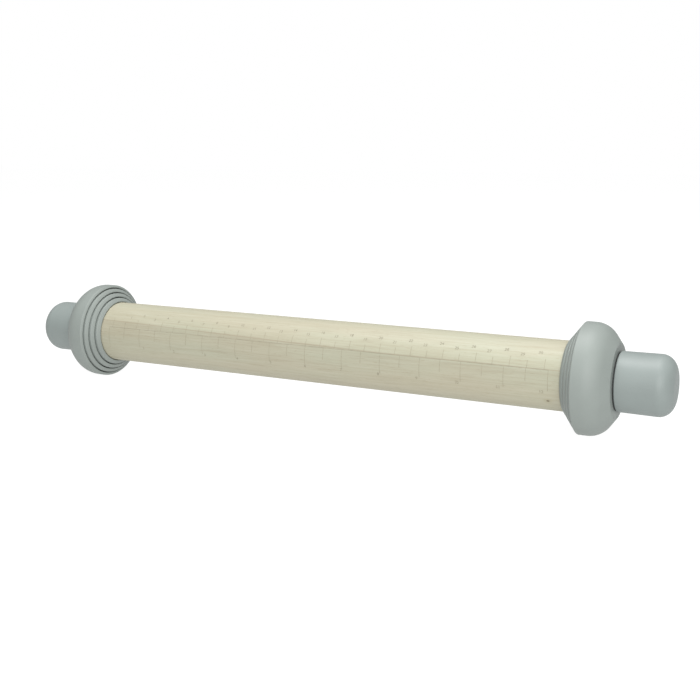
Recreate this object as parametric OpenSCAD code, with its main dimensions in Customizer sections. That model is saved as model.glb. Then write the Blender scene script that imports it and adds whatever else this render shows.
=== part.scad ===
// Adjustable rolling pin: a barrel with four nested thickness rings at each end,
// each stack clamped on the barrel's nose by a screw-in knob.
// X runs along the pin, +Z is up and the origin is the middle of the pin.

/* [Barrel] */
// Diameter of the beech barrel
barrel_d = 40; // [38:0.5:46]
// Length of bare wood between the two stacks of rings
barrel_span = 318.5; // [220:0.5:420]
// Length of the barrel's rounded nose, beyond the rings' straight skirts
nose_l = 1.6; // [1:0.1:4]

/* [Rings] */
// Height of the small ring above the barrel
small_h = 3.3; // [3:0.1:3.5]
// Height of the medium ring above the barrel
medium_h = 6.4; // [6:0.1:6.6]
// Height of the large ring above the barrel
large_h = 9.4; // [9:0.1:9.6]
// Height of the outer ring above the barrel
outer_h = 11.6; // [11.5:0.1:13]
// Play between a ring and the piece that it slides over
ring_play = 0.3; // [0.2:0.05:0.4]
// Thickness of each ring's flat base
base_wall = 2.6; // [2:0.1:4]
// Length of the skirt, from the inner ring's rim to the start of the domes
skirt_l = 15.3; // [12:0.1:20]
// Diameter of the flat seat in the middle of every base
seat_d = 36; // [34:0.5:38]
// Fullness of the dome: 1 is a straight cone and 2 an ellipse
dome_power = 1.45; // [1.2:0.05:2.2]
// Angle by which the cone of bevelled rims leans back
rim_angle = 38; // [30:1:42]
// Radius on the two edges of a rim
rim_round = 0.45; // [0.2:0.05:0.55]

/* [Knobs] */
// Diameter of the knob where it meets the rings
knob_root_d = 33.6; // [32:0.2:33.8]
// Diameter of the knob where it is widest
knob_d = 34.1; // [34:0.1:38]
// Length of the knob
knob_l = 30.2; // [29.4:0.2:36]
// Length of the rounded end of the knob
knob_end_l = 8.6; // [6:0.1:9.4]
// Diameter of the flat on the end of the knob
knob_flat_d = 14.5; // [10:0.5:24]
// Wall of the shell around the knob's core
knob_wall = 3; // [2:0.1:3.6]
// Radius on the shell's edge at the rings
knob_edge_round = 0.5; // [0.2:0.1:1]
// Diameter of the core's hub
hub_d = 19; // [17.5:0.5:21]
// Thickness of the core's ribs
rib_t = 2; // [1.5:0.1:3]
// Number of ribs around the core
rib_count = 6; // [4:1:8]
// Thickness of the core's front flange
flange_t = 3; // [2:0.25:5]

/* [Clamping screw] */
// Diameter of the stud
stud_d = 8; // [6:0.5:9]
// Length of stud held in the barrel with every ring fitted
thread_hold = 14; // [10:0.5:18]
// Length of stud held in the knob
core_hold = 14; // [10:0.5:14.5]
// Width across the flats of the stud's head
head_w = 13; // [12:0.5:14]
// Height of the stud's head
head_h = 5.3; // [4:0.1:5.5]
// Thickness of the friction washer
washer_t = 0.8; // [0.5:0.1:1.5]
// Distance from the knob's edge in to the edge of the washer
washer_inset = 0.6; // [0.2:0.1:1]
// Room around the stud where it passes through a ring or a washer
stud_room = 0.5; // [0.3:0.1:1]
// Diameter of the threaded insert in the barrel
insert_d = 12; // [11:0.5:13.5]
// Diameter of the insert's flange
insert_flange_d = 17; // [15:0.5:20]
// Thickness of the insert's flange
insert_flange_t = 1.5; // [1:0.1:2.5]
// Length of insert beyond the end of the stud
insert_spare = 4; // [2:0.5:8]
// Running fit between the stud and the insert, on the radius
thread_fit = 0.05; // [0.03:0.01:0.09]
// Press fit gap of the insert, the core and the stud's head, on the radius
press_gap = 0.02; // [0.01:0.01:0.05]

/* [Hidden] */
$fn = 96;
arc_steps = 5;
dome_steps = 12;
barrel_r = barrel_d / 2;
heights = [0, small_h, medium_h, large_h, outer_h];
ring_count = len(heights) - 1;
seat_r = seat_d / 2;
stud_r = stud_d / 2;
hole_r = stud_r + stud_room;
// Places along the axis are measured outwards from the small ring's rim
nose_z = skirt_l + nose_l;
clamp_z = nose_z + ring_count * base_wall;
root_z = clamp_z + washer_t;
head_z = root_z + core_hold;
tip_z = nose_z - thread_hold;
insert_l = thread_hold + insert_spare;
insert_drop = 0.2;
// Room beyond the stud's tip when the knob is screwed home with no rings fitted
tip_room = 2;
pocket_l = thread_hold + ring_count * base_wall + washer_t + tip_room;
shoulder_z = knob_l - knob_end_l;
flat_r = knob_flat_d / 2;
cavity_r = knob_root_d / 2 - knob_wall;
core_l = core_hold + head_h;
tip_chamfer = 0.8;
// How far a cut runs past the surface that it starts from
overrun = 1;
beech = "#d8d2b6";
ring_grey = "#b3bdb9";
knob_grey = "#aeb9b5";
core_grey = "#8f9996";
rubber_black = "#2b2d2c";
steel = "#b9bcbf";
brass = "#c8a951";

// Outer radius, base and bore of ring k, where 0 is the barrel's own nose
function ring_r(k) = barrel_r + heights[k];
function base_z(k) = nose_z + k * base_wall;
function bore_r(k) = ring_r(k - 1) + ring_play;

// Where the cone that all the rims lie on has radius r
function cone_z(r) = (r - bore_r(1)) * tan(rim_angle) - rim_trim();

// What rounding takes off the front of a rim
function rim_trim() = rim_round * (tan(rim_angle) + 1 / cos(rim_angle) - 1);

// Dome from the end of the skirt to the edge of the seat, as [radius, height]
function dome(k, play) = [
    for (i = [0:dome_steps])
        let (turn = 90 * i / dome_steps)
        [
            seat_r + play + (ring_r(k) - seat_r) * pow(cos(turn), 2 / dome_power),
            skirt_l + (base_z(k) - skirt_l) * pow(sin(turn), 2 / dome_power)
        ]
];

// Arc of radius r that rounds corner q on the way from p to n
function rounded(p, q, n, r) =
    let (
        to_p = (p - q) / norm(p - q),
        to_n = (n - q) / norm(n - q),
        half = acos(to_p * to_n) / 2,
        middle = q + (to_p + to_n) / norm(to_p + to_n) * r / sin(half),
        first = q + to_p * r / tan(half) - middle,
        last = q + to_n * r / tan(half) - middle,
        start = atan2(first[1], first[0]),
        sweep = (atan2(last[1], last[0]) - start + 540) % 360 - 180
    )
    [
        for (i = [0:arc_steps])
            let (turn = start + sweep * i / arc_steps)
            middle + r * [cos(turn), sin(turn)]
    ];

function flipped(points) = [for (i = [len(points) - 1:-1:0]) points[i]];

// Stands a shape made along +Z on the end of the barrel, -1 left and 1 right
module at_end(side)
    rotate([0, side * 90, 0]) translate([0, 0, barrel_span / 2]) children();

module barrel_outline() {
    nose = [for (p = dome(0, 0)) p + [0, barrel_span / 2]];
    tail = [for (p = flipped(nose)) [p[0], -p[1]]];
    polygon(concat([[0, -tail_end()]], tail, nose, [[0, tail_end()]]));
}

function tail_end() = barrel_span / 2 + nose_z;

module insert_pocket() {
    translate([0, 0, nose_z - pocket_l]) cylinder(r = hole_r, h = pocket_l + overrun);
    translate([0, 0, nose_z - insert_drop - insert_l])
        cylinder(d = insert_d + 2 * press_gap, h = insert_l + insert_drop + overrun);
    translate([0, 0, nose_z - insert_drop - insert_flange_t])
        cylinder(d = insert_flange_d + 2 * press_gap, h = insert_flange_t + insert_drop + overrun);
}

module barrel() color(beech)
    difference() {
        rotate([0, 90, 0]) rotate_extrude() barrel_outline();
        for (side = [-1, 1]) at_end(side) insert_pocket();
    }

module insert(side) color(brass)
    at_end(side) translate([0, 0, nose_z - insert_drop])
        difference() {
            union() {
                translate([0, 0, -insert_l]) cylinder(d = insert_d, h = insert_l);
                translate([0, 0, -insert_flange_t]) cylinder(d = insert_flange_d, h = insert_flange_t);
            }
            translate([0, 0, -insert_l - overrun])
                cylinder(r = stud_r + thread_fit, h = insert_l + 2 * overrun);
        }

// Ring k is a bowl whose pocket follows the piece inside it
module ring_outline(k) {
    front = [bore_r(k), cone_z(bore_r(k))];
    corner = [ring_r(k), cone_z(ring_r(k))];
    outer = dome(k, 0);
    pocket = flipped(dome(k - 1, ring_play));
    polygon(concat(
        rounded(pocket[dome_steps], front, corner, rim_round),
        rounded(front, corner, outer[0], rim_round),
        outer,
        [[hole_r, base_z(k)], [hole_r, base_z(k - 1)]],
        pocket
    ));
}

module ring(side, k) color(ring_grey)
    at_end(side) rotate_extrude() ring_outline(k);

module washer(side) color(rubber_black)
    at_end(side) translate([0, 0, clamp_z])
        difference() {
            cylinder(r = knob_root_d / 2 - washer_inset, h = washer_t);
            translate([0, 0, -overrun]) cylinder(r = hole_r, h = washer_t + 2 * overrun);
        }

module stud(side) color(steel)
    at_end(side) {
        rotate_extrude() polygon([
            [0, tip_z], [stud_r - tip_chamfer, tip_z], [stud_r, tip_z + tip_chamfer],
            [stud_r, head_z], [0, head_z]
        ]);
        translate([0, 0, head_z]) cylinder(d = head_w / cos(30), h = head_h, $fn = 6);
    }

// The core is a ribbed spool that traps the stud's head
module knob_core(side) color(core_grey)
    at_end(side) translate([0, 0, root_z])
        difference() {
            union() {
                cylinder(d = hub_d, h = core_l);
                cylinder(r = cavity_r - press_gap, h = flange_t);
                intersection() {
                    cylinder(r = cavity_r - press_gap, h = core_l);
                    for (i = [0:rib_count - 1])
                        rotate([0, 0, 360 * i / rib_count])
                            translate([0, -rib_t / 2, 0]) cube([knob_d, rib_t, core_l]);
                }
            }
            translate([0, 0, -overrun]) cylinder(r = stud_r + press_gap, h = core_l + 2 * overrun);
            translate([0, 0, core_hold])
                cylinder(d = (head_w + 2 * press_gap) / cos(30), h = head_h + overrun, $fn = 6);
        }

// Quarter of an ellipse from a shoulder of radius r in to the knob's flat
function knob_end(r, rise) = [
    for (i = [0:dome_steps])
        let (turn = 90 * i / dome_steps)
        [flat_r + (r - flat_r) * cos(turn), shoulder_z + rise * sin(turn)]
];

module knob_outline() {
    foot = [knob_root_d / 2, 0];
    shoulder = [knob_d / 2, shoulder_z];
    polygon(concat(
        [[0, 0]],
        rounded([0, 0], foot, shoulder, knob_edge_round),
        knob_end(knob_d / 2, knob_end_l),
        [[0, knob_l]]
    ));
}

module cavity_outline()
    polygon(concat(
        [[0, -overrun], [cavity_r, -overrun]],
        knob_end(cavity_r, knob_end_l - knob_wall),
        [[0, knob_l - knob_wall]]
    ));

module knob_shell(side) color(knob_grey)
    at_end(side) translate([0, 0, root_z])
        difference() {
            rotate_extrude() knob_outline();
            rotate_extrude() cavity_outline();
        }

module left_insert() insert(-1);
module right_insert() insert(1);
module left_ring_small() ring(-1, 1);
module left_ring_medium() ring(-1, 2);
module left_ring_large() ring(-1, 3);
module left_ring_outer() ring(-1, 4);
module right_ring_small() ring(1, 1);
module right_ring_medium() ring(1, 2);
module right_ring_large() ring(1, 3);
module right_ring_outer() ring(1, 4);
module left_washer() washer(-1);
module right_washer() washer(1);
module left_stud() stud(-1);
module right_stud() stud(1);
module left_knob_core() knob_core(-1);
module right_knob_core() knob_core(1);
module left_knob_shell() knob_shell(-1);
module right_knob_shell() knob_shell(1);

barrel();
left_insert();
right_insert();
left_ring_small();
left_ring_medium();
left_ring_large();
left_ring_outer();
right_ring_small();
right_ring_medium();
right_ring_large();
right_ring_outer();
left_washer();
right_washer();
left_stud();
right_stud();
left_knob_core();
right_knob_core();
left_knob_shell();
right_knob_shell();
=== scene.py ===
import math

import bmesh
import bpy
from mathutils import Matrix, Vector


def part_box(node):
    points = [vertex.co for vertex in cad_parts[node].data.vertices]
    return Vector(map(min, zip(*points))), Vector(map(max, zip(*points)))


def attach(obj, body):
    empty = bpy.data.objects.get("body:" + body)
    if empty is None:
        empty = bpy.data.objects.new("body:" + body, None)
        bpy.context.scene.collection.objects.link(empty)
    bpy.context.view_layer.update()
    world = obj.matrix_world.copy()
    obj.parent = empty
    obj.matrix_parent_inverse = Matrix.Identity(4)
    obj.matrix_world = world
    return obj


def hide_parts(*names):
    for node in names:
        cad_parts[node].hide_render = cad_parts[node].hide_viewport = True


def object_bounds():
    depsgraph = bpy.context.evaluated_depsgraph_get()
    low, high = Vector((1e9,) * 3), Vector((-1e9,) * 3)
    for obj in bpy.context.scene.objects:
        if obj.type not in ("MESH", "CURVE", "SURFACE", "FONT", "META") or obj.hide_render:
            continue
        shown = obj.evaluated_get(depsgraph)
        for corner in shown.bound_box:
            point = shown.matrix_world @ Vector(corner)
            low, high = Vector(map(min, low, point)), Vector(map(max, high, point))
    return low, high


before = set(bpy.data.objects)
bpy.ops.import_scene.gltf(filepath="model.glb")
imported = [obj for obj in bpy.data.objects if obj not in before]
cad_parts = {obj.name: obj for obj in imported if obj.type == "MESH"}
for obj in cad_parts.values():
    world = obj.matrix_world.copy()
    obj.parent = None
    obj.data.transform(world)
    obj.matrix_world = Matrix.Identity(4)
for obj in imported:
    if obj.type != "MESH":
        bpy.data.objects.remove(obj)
cad_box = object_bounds()

MM = 0.001
ENDS = {"left": -1, "right": 1}
RINGS = ("small", "medium", "large", "outer")

# Camera, fitted to the outline of the pin, the ring gaps and the scale
CAMERA_AT = Vector((299.4, -535.7, 125.7)) * MM
CAMERA_YAW = math.radians(26.06)
CAMERA_PITCH = math.radians(8.28)
CAMERA_LENS = 51.08
CAMERA_SENSOR = 36.0
CAMERA_SHIFT = (-0.0339, -0.0806)
CAMERA_NEAREST = 0.01

# Studio: a glowing floor, a soft light overhead and a lower one in front, to the right,
# and a white surround that shows brighter than it lights. A light is given by the way to it
# from the middle of the pin and by its power
SURROUND_SHOWN = 1.0
SURROUND_LIGHT = 0.35
LIGHT_DISTANCE = 1.3
LIGHT_SIZE = (0.9, 0.7)
LIGHTS = {"overhead": ((0.0, 0.0, 1.0), 22.3), "front": ((0.5, -0.8, 0.3), 15.3)}
FLOOR_GLOW = 0.955
FLOOR_TONE = 0.12
FLOOR_REACH = 6.0

# Barrel and its burnt scale: angles run up the barrel from the side that faces -Y
BARREL_R = 20.0 * MM
MARK_LIFT = 0.03 * MM
LINE_W = 0.25 * MM
BASE_ANGLE = math.radians(19.3)
CM = 10.0 * MM
INCH = 25.4 * MM
CM_COUNT = 30
INCH_COUNT = 12
CM_TICK_EVEN = 6.2 * MM
CM_TICK_ODD = 4.5 * MM
INCH_TICK = 12.0 * MM
HALF_TICK = 7.2 * MM
CM_NUMBER_EVEN = 9.8 * MM
CM_NUMBER_ODD = 7.8 * MM
INCH_NUMBER = 12.6 * MM
NUMBER_SIZE = 2.6 * MM
NUMBER_SPREAD = 0.976
NUMBER_STEPS = 3
TICK_STEPS = 8
BASE_LINE_STEPS = 60

# Colours, as linear shares of red, green, blue and cover
WHITE = (1.0, 1.0, 1.0, 1.0)
BLACK = (0.0, 0.0, 0.0, 1.0)
RING_GREY = (0.205, 0.229, 0.214, 1.0)
KNOB_GREY = (0.196, 0.224, 0.215, 1.0)
CORE_GREY = (0.15, 0.169, 0.16, 1.0)
RUBBER = (0.012, 0.013, 0.013, 1.0)
RUBBER_DUST = (0.03, 0.031, 0.031, 1.0)
STEEL = (0.62, 0.63, 0.64, 1.0)
BRASS = (0.72, 0.52, 0.22, 1.0)
BEECH_WARM = (0.352, 0.330, 0.245, 1.0)
BEECH_COOL = (0.347, 0.347, 0.260, 1.0)
BURNT_LINE = (0.222, 0.206, 0.148, 1.0)
BURNT_NUMBER = (0.174, 0.161, 0.113, 1.0)
GRAIN_LINE_BROWN = (0.220, 0.170, 0.107, 1.0)
KNOT_HALO_BROWN = (0.228, 0.195, 0.099, 1.0)
KNOT_CORE_BROWN = (0.085, 0.059, 0.025, 1.0)

# Wood: noise for each part of its figure, as repeats in a metre along and across the grain,
# detail and roughness. Each layer over the plain wood then gives what it follows, where it
# starts and is full, how much it tints there, and its tint
PITH = Vector((0.0, 62.0, -38.0)) * MM
GROWTH_RINGS = 420.0
GROWTH_DRIFT = 5.0
FIGURES = {
    "drift": (5.0, 45.0, 2.0, 0.5),
    "streak": (6.0, 480.0, 5.0, 0.62),
    "dash": (40.0, 900.0, 3.0, 0.6),
    "fine": (24.0, 2300.0, 3.0, 0.6),
    "flecks": (260.0, 2600.0, 1.0, 0.5),
    "patch": (8.0, 50.0, 2.0, 0.5),
}
WOOD_LAYERS = (
    ("band", 0.7, 1.0, 0.16, (0.287, 0.254, 0.173, 1.0)),
    ("streak", 0.50, 0.70, 0.30, (0.304, 0.271, 0.190, 1.0)),
    ("dash", 0.48, 0.72, 0.32, (0.262, 0.238, 0.165, 1.0)),
    ("dash", 0.46, 0.30, 0.26, (0.420, 0.402, 0.320, 1.0)),
    ("fine", 0.52, 0.74, 0.36, (0.254, 0.220, 0.148, 1.0)),
    ("flecks", 0.64, 0.74, 0.30, (0.211, 0.170, 0.099, 1.0)),
)

# The brown grain line on the scale's side, at an arc length up from the middle of that side, with
# a shade below it, and the knot near the right end, a dark core in a brown halo
GRAIN_LINE_UP = 7.9 * MM
GRAIN_LINE_LOWEST = 6.8 * MM
GRAIN_LINE_SLOPE = -0.021
GRAIN_LINE_WAVER = 1.2 * MM
GRAIN_LINE_W = 0.5 * MM
GRAIN_LINE_TINT = 0.42
GRAIN_SHADE = 0.1
GRAIN_SHADE_L = 9.0 * MM
GRAIN_SHADE_EDGE = (1.2 * MM, -0.6 * MM)
KNOT_X = 152.0 * MM
KNOT_ANGLE = math.radians(-34.0)
KNOT_R = 0.9 * MM
KNOT_STRETCH = (0.7, 1.0, 1.0)
KNOT_CORE_SHARE = 0.3
KNOT_CORE_TINT = 0.85
KNOT_HALO_SHARE = 3.2
KNOT_HALO_TINT = 0.22

# Rings, measured outwards from the small ring's rim, with heights above the barrel, the barrel's
# own first. Each dome is a round shoulder that runs on into a straight flank down to a flat seat,
# and all the rims are bevelled on one cone
RING_HEIGHTS = (0.0, 3.0 * MM, 6.1 * MM, 9.1 * MM, 11.6 * MM)
RING_PLAY = 0.55 * MM
BARREL_PLAY = 0.25 * MM
RING_BASE = 2.6 * MM
STACK_AT = 159.25 * MM
NOSE_L = 16.9 * MM
HOLE_R = 4.5 * MM
SEAT_R = 21.05 * MM
SHOULDER_SHARE = 0.515
FLANK_ANGLE = math.radians(54.0)
SHOULDER_STEPS = 12
RIM_SLOPE = math.tan(math.radians(38.0))
RIM_FOOT_R = 21.07 * MM
RIM_ROUND = 0.5 * MM
RIM_STEPS = 5
RING_STEPS = 192
RING_CREASE = math.radians(24.0)

# Clamping screw and its insert, with a right-hand metric thread
PITCH = 1.25 * MM
HALF_CREST_SHARE = 0.0625
FLANK_SHARE = 0.3125
STUD_R = 3.98 * MM
STUD_ROOT_R = 3.23 * MM
STUD_POINT_R = 3.1 * MM
STUD_THREAD_L = 27.5 * MM
HEAD_W = 13.0 * MM
HEAD_H = 5.3 * MM
HEAD_CHAMFER = 0.6 * MM
HEAD_TOP_SHARE = 1.02
INSERT_R = 6.0 * MM
INSERT_BORE_R = 4.05 * MM
INSERT_GROOVE_R = 4.7 * MM
INSERT_FLANGE_R = 8.5 * MM
INSERT_FLANGE_T = 1.5 * MM
INSERT_EDGE = 0.25 * MM
INSERT_MOUTH = 0.7 * MM
TURN_STEPS = 48
PITCH_STEPS = 8

# Surfaces: noise as repeats in a metre, the part of its span that counts, and relief
NOISE_MIDDLE = (0.3, 0.7)
PLASTIC_CLOUDS = 55.0
PLASTIC_GRAIN = 2400.0
PLASTIC_GRAIN_SPAN = (0.2, 0.8)
PLASTIC_TONE_SPREAD = 0.025
PLASTIC_RELIEF = 0.04 * MM
PLASTIC_BUMP = 0.5
PLASTIC_IOR = 1.45
WOOD_RELIEF = 0.05 * MM
WOOD_BUMP = 0.3
MARK_BREAKS = (300.0, 1100.0, 1100.0)
MARK_BREAK_SPAN = (0.35, 0.65)
MARK_FADE = 1.3
LATHE_LINES = (4000.0, 500.0, 500.0)
LATHE_SHADE = 0.88
DUST = 1500.0
DUST_DETAIL = 3.0

# Roughness, with a spread to both sides where a texture changes it
ROUGHNESS_SPREAD = 0.06
RING_ROUGHNESS = 0.55
KNOB_ROUGHNESS = 0.52
CORE_ROUGHNESS = 0.5
STEEL_ROUGHNESS = 0.32
BRASS_ROUGHNESS = 0.3
RUBBER_ROUGHNESS = 0.8
MARK_ROUGHNESS = 0.75
WOOD_ROUGHNESS = (0.55, 0.66)


def new_object(name, bm, material):
    mesh = bpy.data.meshes.new(name)
    bm.to_mesh(mesh)
    bm.free()
    obj = bpy.data.objects.new(name, mesh)
    bpy.context.scene.collection.objects.link(obj)
    mesh.materials.append(material)
    return obj


class Graph:
    """A material's nodes, made and linked by short calls."""

    def __init__(self, name):
        self.material = bpy.data.materials.new(name)
        self.material.use_nodes = True
        self.tree = self.material.node_tree
        self.shader = self.tree.nodes["Principled BSDF"]

    def node(self, kind, **settings):
        made = self.tree.nodes.new(kind)
        for key, value in settings.items():
            setattr(made, key, value)
        return made

    def put(self, socket, value):
        """Links a socket, or sets a plain value, on another socket."""
        if isinstance(value, bpy.types.NodeSocket):
            self.tree.links.new(value, socket)
        else:
            socket.default_value = value

    def set(self, name, value):
        self.put(self.shader.inputs[name], value)

    def math(self, operation, *values):
        made = self.node("ShaderNodeMath", operation=operation)
        for socket, value in zip(made.inputs, values):
            self.put(socket, value)
        return made.outputs[0]

    def vector(self, operation, *values):
        made = self.node("ShaderNodeVectorMath", operation=operation)
        for socket, value in zip(made.inputs, values):
            self.put(socket, value)
        return made.outputs["Value" if operation == "LENGTH" else "Vector"]

    def point(self):
        return self.node("ShaderNodeTexCoord").outputs["Object"]

    def axes(self, point):
        made = self.node("ShaderNodeSeparateXYZ")
        self.put(made.inputs[0], point)
        return made.outputs[:3]

    def noise(self, point, scale, detail=2.0, roughness=0.5):
        """Noise from 0 to 1 about 0.5; scale is a number, or one number for each axis."""
        if not isinstance(scale, float):
            point = self.vector("MULTIPLY", point, scale)
            scale = 1.0
        made = self.node("ShaderNodeTexNoise")
        self.put(made.inputs["Vector"], point)
        made.inputs["Scale"].default_value = scale
        made.inputs["Detail"].default_value = detail
        made.inputs["Roughness"].default_value = roughness
        return made.outputs["Fac"]

    def between(self, value, low, high, to_low=0.0, to_high=1.0):
        """Eases from to_low to to_high as value goes from low to high."""
        made = self.node("ShaderNodeMapRange", interpolation_type="SMOOTHSTEP")
        for key, number in zip(("Value", "From Min", "From Max", "To Min", "To Max"),
                               (value, low, high, to_low, to_high)):
            self.put(made.inputs[key], number)
        return made.outputs[0]

    def mix(self, share, a, b):
        made = self.node("ShaderNodeMix", data_type="RGBA")
        colours = [s for s in made.inputs if s.type == "RGBA"]
        self.put(made.inputs["Factor"], share)
        self.put(colours[0], a)
        self.put(colours[1], b)
        return next(s for s in made.outputs if s.type == "RGBA")

    def rough(self, roughness, figure, low, high):
        """Roughness that follows a figure a little to both sides."""
        smoother = roughness - ROUGHNESS_SPREAD
        rougher = roughness + ROUGHNESS_SPREAD
        self.set("Roughness", self.between(figure, low, high, smoother, rougher))

    def bump(self, height, distance, strength):
        made = self.node("ShaderNodeBump")
        made.inputs["Strength"].default_value = strength
        made.inputs["Distance"].default_value = distance
        self.put(made.inputs["Height"], height)
        self.set("Normal", made.outputs[0])


def shade(colour, factor):
    """A colour made darker or lighter, with its cover kept."""
    return tuple(c * factor for c in colour[:3]) + colour[3:]


def moulded_plastic(name, colour, roughness):
    """Matte moulded plastic with a fine spark-eroded texture and slow changes of tone."""
    g = Graph(name)
    cloud = g.noise(g.point(), PLASTIC_CLOUDS)
    grain = g.noise(g.point(), PLASTIC_GRAIN)
    darker = shade(colour, 1 - PLASTIC_TONE_SPREAD)
    lighter = shade(colour, 1 + PLASTIC_TONE_SPREAD)
    g.set("Base Color", g.mix(g.between(cloud, *NOISE_MIDDLE), darker, lighter))
    g.rough(roughness, grain, *PLASTIC_GRAIN_SPAN)
    g.set("IOR", PLASTIC_IOR)
    g.bump(grain, PLASTIC_RELIEF, PLASTIC_BUMP)
    return g.material


def on_barrel(x, angle, lift=0.0):
    """A point on the barrel at x along it and an angle up from the side that faces -Y."""
    radius = BARREL_R + lift
    return Vector((x, -radius * math.cos(angle), radius * math.sin(angle)))


def beech_wood():
    """Pale beech, turned from a straight-grained blank, with growth bands, streaks and flecks."""
    g = Graph("beech")
    point = g.point()
    x, y, z = g.axes(point)
    figure = {}
    for name, (along, across, detail, roughness) in FIGURES.items():
        figure[name] = g.noise(point, (along, across, across), detail, roughness)
    from_pith = g.vector("MULTIPLY", g.vector("SUBTRACT", point, PITH), (0.0, 1.0, 1.0))
    years = g.math("MULTIPLY", g.vector("LENGTH", from_pith), GROWTH_RINGS)
    drift = g.math("MULTIPLY", figure["drift"], GROWTH_DRIFT)
    figure["band"] = g.math("FRACT", g.math("ADD", years, drift))
    colour = g.mix(g.between(figure["patch"], *NOISE_MIDDLE), BEECH_WARM, BEECH_COOL)
    for name, low, high, most, tint in WOOD_LAYERS:
        colour = g.mix(g.between(figure[name], low, high, 0.0, most), colour, tint)

    up = g.math("MULTIPLY", g.math("ARCTAN2", z, g.math("MULTIPLY", y, -1.0)), BARREL_R)
    waver = g.math("MULTIPLY", g.math("SUBTRACT", figure["drift"], 0.5), GRAIN_LINE_WAVER)
    slant = g.math("MULTIPLY_ADD", x, GRAIN_LINE_SLOPE, GRAIN_LINE_UP)
    line = g.math("MAXIMUM", slant, GRAIN_LINE_LOWEST)
    over = g.math("SUBTRACT", up, g.math("ADD", line, waver))
    fade = g.between(over, -GRAIN_SHADE_L, 0.0)
    below = g.math("MULTIPLY", fade, g.between(over, *GRAIN_SHADE_EDGE))
    colour = g.mix(g.math("MULTIPLY", below, GRAIN_SHADE), colour, BLACK)
    near = g.between(g.math("ABSOLUTE", over), 0.0, GRAIN_LINE_W, GRAIN_LINE_TINT, 0.0)
    colour = g.mix(near, colour, GRAIN_LINE_BROWN)

    knot = on_barrel(KNOT_X, KNOT_ANGLE)
    away = g.vector("LENGTH", g.vector("MULTIPLY", g.vector("SUBTRACT", point, knot), KNOT_STRETCH))
    halo = g.between(away, KNOT_R, KNOT_HALO_SHARE * KNOT_R, KNOT_HALO_TINT, 0.0)
    colour = g.mix(halo, colour, KNOT_HALO_BROWN)
    core = g.between(away, KNOT_CORE_SHARE * KNOT_R, KNOT_R, KNOT_CORE_TINT, 0.0)
    colour = g.mix(core, colour, KNOT_CORE_BROWN)
    g.set("Base Color", colour)
    g.set("Roughness", g.between(figure["streak"], *NOISE_MIDDLE, *WOOD_ROUGHNESS))
    g.bump(figure["fine"], WOOD_RELIEF, WOOD_BUMP)
    return g.material


def burnt_mark(name, colour):
    """The scale, burnt lightly into the wood, so the grain breaks it up."""
    g = Graph(name)
    breaks = g.between(g.noise(g.point(), MARK_BREAKS), *MARK_BREAK_SPAN)
    g.set("Base Color", g.mix(breaks, colour, shade(colour, MARK_FADE)))
    g.set("Roughness", MARK_ROUGHNESS)
    return g.material


def turned_metal(name, colour, roughness):
    """Bright metal with fine lines round it, as a lathe leaves them."""
    g = Graph(name)
    lines = g.noise(g.point(), LATHE_LINES)
    g.set("Base Color", g.mix(g.between(lines, *NOISE_MIDDLE), colour, shade(colour, LATHE_SHADE)))
    g.rough(roughness, lines, *NOISE_MIDDLE)
    g.set("Metallic", 1.0)
    return g.material


def black_rubber():
    """Nearly black rubber with a little dust."""
    g = Graph("washer_rubber")
    dust = g.noise(g.point(), DUST, DUST_DETAIL)
    g.set("Base Color", g.mix(g.between(dust, *NOISE_MIDDLE), RUBBER, RUBBER_DUST))
    g.set("Roughness", RUBBER_ROUGHNESS)
    return g.material


def on_scale(x, up):
    """A point just above the barrel, at x along it and an arc length up from the base line."""
    return on_barrel(x, BASE_ANGLE + up / BARREL_R, MARK_LIFT)


def strip(bm, x0, x1, up0, up1, steps_x, steps_up):
    """A thin patch that follows the barrel between two places along it and two arc lengths."""
    rows = []
    for j in range(steps_up + 1):
        up = up0 + (up1 - up0) * j / steps_up
        places = [x0 + (x1 - x0) * i / steps_x for i in range(steps_x + 1)]
        rows.append([bm.verts.new(on_scale(x, up)) for x in places])
    for low, high in zip(rows, rows[1:]):
        for i in range(steps_x):
            bm.faces.new((low[i], low[i + 1], high[i + 1], high[i]))


def tick(bm, x, up):
    strip(bm, x - LINE_W / 2, x + LINE_W / 2, 0.0, up, 1, TICK_STEPS)


def scale_lines(material):
    """The base line, with centimetre ticks above it and half-inch ticks below it."""
    bm = bmesh.new()
    reach_x = INCH_COUNT * INCH / 2
    strip(bm, -reach_x, reach_x, -LINE_W / 2, LINE_W / 2, BASE_LINE_STEPS, 1)
    for k in range(CM_COUNT + 1):
        tick(bm, (k - CM_COUNT / 2) * CM, CM_TICK_ODD if k % 2 else CM_TICK_EVEN)
    for k in range(2 * INCH_COUNT + 1):
        tick(bm, (k / 2 - INCH_COUNT / 2) * INCH, -(HALF_TICK if k % 2 else INCH_TICK))
    return new_object("scale_lines", bm, material)


def number(bm, text, x, up):
    """Adds a number to the scale, bent round the barrel."""
    curve = bpy.data.curves.new("number", "FONT")
    curve.body = text
    curve.size = NUMBER_SIZE
    curve.align_x = "CENTER"
    curve.align_y = "CENTER"
    curve.resolution_u = NUMBER_STEPS
    maker = bpy.data.objects.new("number", curve)
    mesh = bpy.data.meshes.new_from_object(maker)
    for v in mesh.vertices:
        v.co = on_scale(x + v.co.x, up + v.co.y)
    bm.from_mesh(mesh)
    bpy.data.meshes.remove(mesh)
    bpy.data.objects.remove(maker)
    bpy.data.curves.remove(curve)


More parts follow.
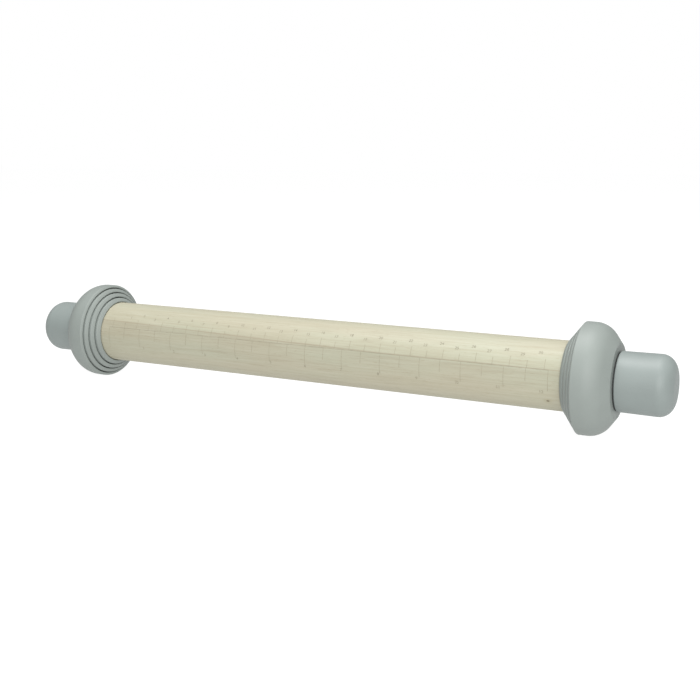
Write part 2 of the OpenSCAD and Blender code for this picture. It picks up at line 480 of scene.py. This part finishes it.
def scale_numbers(material):
    bm = bmesh.new()
    for k in range(1, CM_COUNT + 1):
        x = (k - CM_COUNT / 2) * CM * NUMBER_SPREAD
        number(bm, str(k), x, CM_NUMBER_ODD if k % 2 else CM_NUMBER_EVEN)
    for k in range(1, INCH_COUNT + 1):
        number(bm, str(k), (k - INCH_COUNT / 2) * INCH * NUMBER_SPREAD, -INCH_NUMBER)
    return new_object("scale_numbers", bm, material)


def thread(out, angle, crest, root):
    """Radius of a right-hand thread at a place along the screw's axis and an angle round it."""
    phase = (out / PITCH - angle / math.tau) % 1.0
    share = (abs(phase - 0.5) - HALF_CREST_SHARE) / FLANK_SHARE
    return crest + (root - crest) * min(max(share, 0.0), 1.0)


def thread_rows(start, end, crest, root):
    """Rows of a thread from start to end, for turned()."""
    count = round(abs(end - start) / PITCH * PITCH_STEPS)
    places = [start + (end - start) * i / count for i in range(count + 1)]
    return [(out, lambda angle, out=out: thread(out, angle, crest, root)) for out in places]


def plain(out, radius):
    """A round row, for turned()."""
    return (out, lambda angle: radius)


def hexagon(out, width, most):
    """A row round a hexagon, with its corners cut back to most times the flats' half width."""
    def radius(angle):
        side = (angle % (math.pi / 3)) - math.pi / 6
        return width / 2 * min(1 / math.cos(side), most)
    return (out, radius)


def turned(name, side, rows, material, closed=False, steps=TURN_STEPS):
    """A surface through rows of (place outwards along the pin, radius at an angle)."""
    bm = bmesh.new()
    circles = []
    for out, radius in rows:
        circle = []
        for i in range(steps):
            angle = math.tau * i / steps
            r = radius(angle)
            place = (side * out, r * math.cos(angle), side * r * math.sin(angle))
            circle.append(bm.verts.new(place))
        circles.append(circle)
    pairs = list(zip(circles, circles[1:]))
    if closed:
        pairs.append((circles[-1], circles[0]))
    else:
        bm.faces.new(circles[0])
        bm.faces.new(circles[-1])
    for a, b in pairs:
        for i in range(steps):
            j = (i + 1) % steps
            bm.faces.new((a[i], a[j], b[j], b[i]))
    bmesh.ops.recalc_face_normals(bm, faces=bm.faces)
    return new_object(name, bm, material)


def reach(node):
    """How far from the middle of the pin a node starts and ends, along its axis."""
    low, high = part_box(node)
    return min(abs(low[0]), abs(high[0])), max(abs(low[0]), abs(high[0]))


def dome(k):
    """Side of ring k from its shoulder to its flat seat, as (radius, place)."""
    radius = BARREL_R + RING_HEIGHTS[k]
    base = NOSE_L + k * RING_BASE
    fall = radius - SEAT_R
    shoulder = SHOULDER_SHARE * fall / (1 - math.cos(FLANK_ANGLE))
    flank = (1 - SHOULDER_SHARE) * fall / math.tan(FLANK_ANGLE)
    start = base - flank - shoulder * math.sin(FLANK_ANGLE)
    points = []
    for i in range(SHOULDER_STEPS + 1):
        turn = FLANK_ANGLE * i / SHOULDER_STEPS
        across = radius - shoulder * (1 - math.cos(turn))
        points.append(Vector((across, start + shoulder * math.sin(turn))))
    return points + [Vector((SEAT_R, base))]


def rim(radius):
    """The point at a radius on the cone of the rims, as (radius, place)."""
    return Vector((radius, (radius - RIM_FOOT_R) * RIM_SLOPE))


def rounded(before, corner, after):
    """Points of an arc that rounds a rim's corner."""
    back = (before - corner).normalized()
    on = (after - corner).normalized()
    half = back.angle(on) / 2
    middle = corner + (back + on).normalized() * RIM_ROUND / math.sin(half)
    first = corner + back * RIM_ROUND / math.tan(half) - middle
    last = corner + on * RIM_ROUND / math.tan(half) - middle
    turns = [first.slerp(last, i / RIM_STEPS).normalized() for i in range(RIM_STEPS + 1)]
    return [middle + turn * RIM_ROUND for turn in turns]


def nested_ring(end, k, material):
    """Ring k, a bowl with a straight skirt, whose pocket follows the piece inside it."""
    inside = dome(k - 1) if k > 1 else [Vector((BARREL_R, NOSE_L))]
    play = RING_PLAY if k > 1 else BARREL_PLAY
    pocket = [p + Vector((play, 0.0)) for p in reversed(inside)]
    side = dome(k)
    front = rim(BARREL_R + RING_HEIGHTS[k - 1] + play)
    edge = rim(BARREL_R + RING_HEIGHTS[k])
    outline = [Vector((HOLE_R, pocket[0].y))] + pocket
    outline += rounded(pocket[-1], front, edge) + rounded(front, edge, side[0])
    outline += side + [Vector((HOLE_R, side[-1].y))]
    rows = [plain(STACK_AT + p.y, p.x) for p in outline]
    name = RINGS[k - 1]
    piece = turned(f"{end}_nested_{name}", ENDS[end], rows, material, closed=True, steps=RING_STEPS)
    piece.data.shade_smooth()
    piece.data.set_sharp_from_angle(angle=RING_CREASE)
    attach(piece, f"{end}_{name}_ring")
    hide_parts(f"{end}_ring_{name}")


def threaded_stud(end, material):
    """The clamping screw: its thread starts at a narrow point, and its head is round, with a
    slightly six-sided top."""
    tip, top = reach(f"{end}_stud")
    head = top - HEAD_H
    point_l = STUD_R - STUD_POINT_R
    rows = [plain(tip, STUD_POINT_R)]
    for out, radius in thread_rows(tip, tip + STUD_THREAD_L, STUD_R, STUD_ROOT_R):
        limit = STUD_POINT_R + min(out - tip, point_l)
        rows.append((out, lambda angle, radius=radius, limit=limit: min(radius(angle), limit)))
    rows += [plain(tip + STUD_THREAD_L + PITCH, STUD_R), plain(head, STUD_R)]
    rows += [plain(head, HEAD_W / 2), plain(top - HEAD_CHAMFER, HEAD_W / 2)]
    rows += [hexagon(top, HEAD_W, HEAD_TOP_SHARE)]
    piece = turned(f"{end}_threaded_stud", ENDS[end], rows, material)
    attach(piece, f"{end}_knob")
    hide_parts(f"{end}_stud")


def threaded_insert(end, material):
    """A flanged sleeve with a thread through it."""
    inner, face = reach(f"{end}_insert")
    rows = [plain(inner, INSERT_R), plain(face - INSERT_FLANGE_T, INSERT_R)]
    rows += [plain(face - INSERT_FLANGE_T, INSERT_FLANGE_R)]
    rows += [plain(face - INSERT_EDGE, INSERT_FLANGE_R)]
    rows += [plain(face, INSERT_FLANGE_R - INSERT_EDGE)]
    rows += [plain(face, INSERT_BORE_R + INSERT_MOUTH)]
    rows += thread_rows(face - INSERT_MOUTH, inner, INSERT_GROOVE_R, INSERT_BORE_R)
    piece = turned(f"{end}_threaded_insert", ENDS[end], rows, material, closed=True)
    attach(piece, "barrel")
    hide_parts(f"{end}_insert")


def paint(node, material):
    """Gives a node of the frame its material."""
    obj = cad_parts[node]
    obj.data.materials.clear()
    obj.data.materials.append(material)


def soft_light(name, toward, power):
    """A rectangular light that faces the middle of the pin."""
    light = bpy.data.lights.new(name, "AREA")
    light.shape = "RECTANGLE"
    light.size, light.size_y = LIGHT_SIZE
    light.energy = power
    obj = bpy.data.objects.new(name, light)
    toward = Vector(toward).normalized()
    obj.location = toward * LIGHT_DISTANCE
    obj.rotation_euler = toward.to_track_quat("Z", "Y").to_euler()
    bpy.context.scene.collection.objects.link(obj)


def surround():
    """White all round, brighter to the camera than as a light."""
    world = bpy.data.worlds.new("studio")
    world.use_nodes = True
    tree = world.node_tree
    background = tree.nodes["Background"]
    background.inputs["Color"].default_value = WHITE
    strength = tree.nodes.new("ShaderNodeMath")
    strength.operation = "MULTIPLY_ADD"
    strength.inputs[1].default_value = SURROUND_SHOWN - SURROUND_LIGHT
    strength.inputs[2].default_value = SURROUND_LIGHT
    path = tree.nodes.new("ShaderNodeLightPath")
    tree.links.new(path.outputs["Is Camera Ray"], strength.inputs[0])
    tree.links.new(strength.outputs[0], background.inputs["Strength"])
    bpy.context.scene.world = world


def floor():
    """A glowing floor that the pin lies on."""
    bm = bmesh.new()
    bmesh.ops.create_grid(bm, x_segments=1, y_segments=1, size=FLOOR_REACH)
    g = Graph("floor")
    g.set("Base Color", shade(WHITE, FLOOR_TONE))
    g.set("Roughness", 1.0)
    g.set("Specular IOR Level", 0.0)
    g.set("Emission Color", WHITE)
    g.set("Emission Strength", FLOOR_GLOW)
    plane = new_object("floor", bm, g.material)
    plane.location.z = cad_box[0].z


def camera():
    data = bpy.data.cameras.new("camera")
    data.lens = CAMERA_LENS
    data.sensor_width = CAMERA_SENSOR
    data.shift_x, data.shift_y = CAMERA_SHIFT
    data.clip_start = CAMERA_NEAREST
    obj = bpy.data.objects.new("camera", data)
    obj.location = CAMERA_AT
    obj.rotation_euler = (math.pi / 2 - CAMERA_PITCH, 0.0, CAMERA_YAW)
    bpy.context.scene.collection.objects.link(obj)
    bpy.context.scene.camera = obj


camera()
surround()
for name, (toward, power) in LIGHTS.items():
    soft_light(name, toward, power)
floor()
bpy.context.scene.view_settings.view_transform = "Standard"

ring_plastic = moulded_plastic("ring_plastic", RING_GREY, RING_ROUGHNESS)
knob_plastic = moulded_plastic("knob_plastic", KNOB_GREY, KNOB_ROUGHNESS)
core_plastic = moulded_plastic("core_plastic", CORE_GREY, CORE_ROUGHNESS)
rubber = black_rubber()
steel = turned_metal("steel", STEEL, STEEL_ROUGHNESS)
brass = turned_metal("brass", BRASS, BRASS_ROUGHNESS)

paint("barrel", beech_wood())
for end in ENDS:
    for k in range(1, len(RING_HEIGHTS)):
        nested_ring(end, k, ring_plastic)
    paint(f"{end}_washer", rubber)
    paint(f"{end}_knob_core", core_plastic)
    paint(f"{end}_knob_shell", knob_plastic)
    threaded_stud(end, steel)
    threaded_insert(end, brass)

for piece in (scale_lines(burnt_mark("burnt_line", BURNT_LINE)),
              scale_numbers(burnt_mark("burnt_number", BURNT_NUMBER))):
    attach(piece, "barrel")
